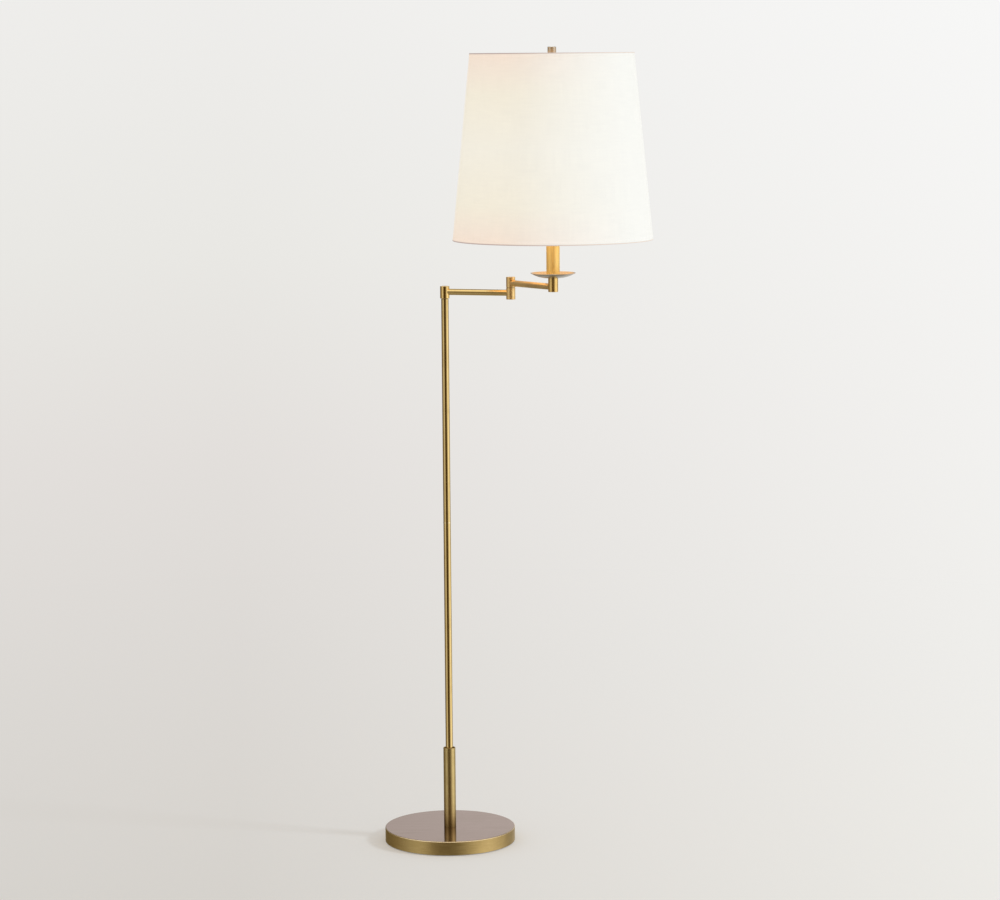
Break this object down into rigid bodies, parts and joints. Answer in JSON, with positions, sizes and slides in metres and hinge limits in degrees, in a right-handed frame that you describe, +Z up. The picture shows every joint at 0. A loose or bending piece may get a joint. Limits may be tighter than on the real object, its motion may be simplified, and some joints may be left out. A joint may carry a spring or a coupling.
{
  "type": "swing arm floor lamp",
  "caption": "Free-standing floor lamp: round weighted base, slim pole, swing arm folding at pole top and elbow, drip cup and candle sleeve under a tapered fabric drum shade.",
  "frame": {"origin": "centre of the base's underside, on the floor", "axes": "+Z up along the pole, +X along the lower arm from the pole to the elbow at rest"},
  "size_m": [0.5523, 0.3946, 1.5425],
  "materials": {
    "antique_brass": "hand-brushed antique brass, satin lacquer",
    "bright_brass": "turned brass, brighter than the tubes",
    "socket_brass": "drawn thin brass",
    "harp_wire": "brass-plated wire and strip",
    "zinc_steel": "zinc-plated threaded steel",
    "cast_weight": "rough casting, black paint",
    "felt": "black felt",
    "black_plastic": "moulded plastic",
    "nylon": "dark nylon washer",
    "lead_sheath": "soft insulated lead",
    "fibre_liner": "insulating paper tube",
    "phenolic": "phenolic moulding",
    "bulb_metal": "drawn aluminium screw base",
    "frosted_glass": "frosted inside",
    "bulb_core": "white moulding",
    "filament": "lit emitter ring",
    "linen": "off-white linen, plain weave",
    "shade_backing": "white laminated sheet",
    "shade_wire": "white powder coat"
  },
  "bodies": {
    "stand": {"base_cover": "antique_brass", "base_weight": "cast_weight", "base_pad": "felt", "base_rod": "zinc_steel", "base_washer": "zinc_steel", "base_nut": "zinc_steel", "cord_bushing": "black_plastic", "sleeve_foot": "bright_brass", "sleeve_tube": "antique_brass", "sleeve_collar": "bright_brass", "lower_pole": "antique_brass", "pole_coupler": "bright_brass", "upper_pole": "antique_brass", "swivel_stud": "bright_brass", "swivel_washer": "nylon", "swivel_nut": "bright_brass", "pole_lead": "lead_sheath"},
    "lower_arm": {"pole_knuckle": "antique_brass", "knuckle_plug": "antique_brass", "lower_arm_tube": "antique_brass", "elbow_lower_knuckle": "antique_brass", "elbow_bottom_cap": "antique_brass", "elbow_stud": "bright_brass", "elbow_washer": "nylon", "elbow_nut": "bright_brass", "lower_arm_lead": "lead_sheath"},
    "upper_arm": {"elbow_upper_knuckle": "antique_brass", "elbow_top_cap": "antique_brass", "upper_arm_tube": "antique_brass", "end_knuckle": "antique_brass", "end_plug": "antique_brass", "drip_cup": "antique_brass", "candle_sleeve": "antique_brass", "candle_cap": "antique_brass", "finial": "antique_brass", "socket_cap": "socket_brass", "socket_shell": "socket_brass", "socket_screw_shell": "socket_brass", "socket_contact": "socket_brass", "harp": "harp_wire", "harp_saddle": "harp_wire", "harp_ferrules": "harp_wire", "harp_seat": "harp_wire", "riser_rod": "zinc_steel", "riser_nut": "zinc_steel", "upper_arm_lead": "lead_sheath", "socket_liner": "fibre_liner", "socket_body": "phenolic", "bulb_base": "bulb_metal", "bulb_glass": "frosted_glass", "bulb_stem": "bulb_core", "bulb_filament": "filament", "shade_fabric": "linen", "shade_liner": "shade_backing", "shade_spider": "shade_wire", "shade_bottom_ring": "shade_wire"},
    "switch_knob": {"switch_knob": "black_plastic"}
  },
  "joints": [
    {"name": "arm_swivel", "type": "hinge", "parent": "stand", "child": "lower_arm", "pos_m": [0, 0, 1.0651], "axis": [0, 0, 1], "range_deg": [-170, 170]},
    {"name": "elbow_swivel", "type": "hinge", "parent": "lower_arm", "child": "upper_arm", "pos_m": [0.132, 0, 1.0876], "axis": [0, 0, 1], "range_deg": [-128, 201]},
    {"name": "switch_turn", "type": "hinge", "parent": "upper_arm", "child": "switch_knob", "pos_m": [0.23797, -0.0987, 1.2962], "axis": [0, -1, 0], "continuous": true}
  ]
}
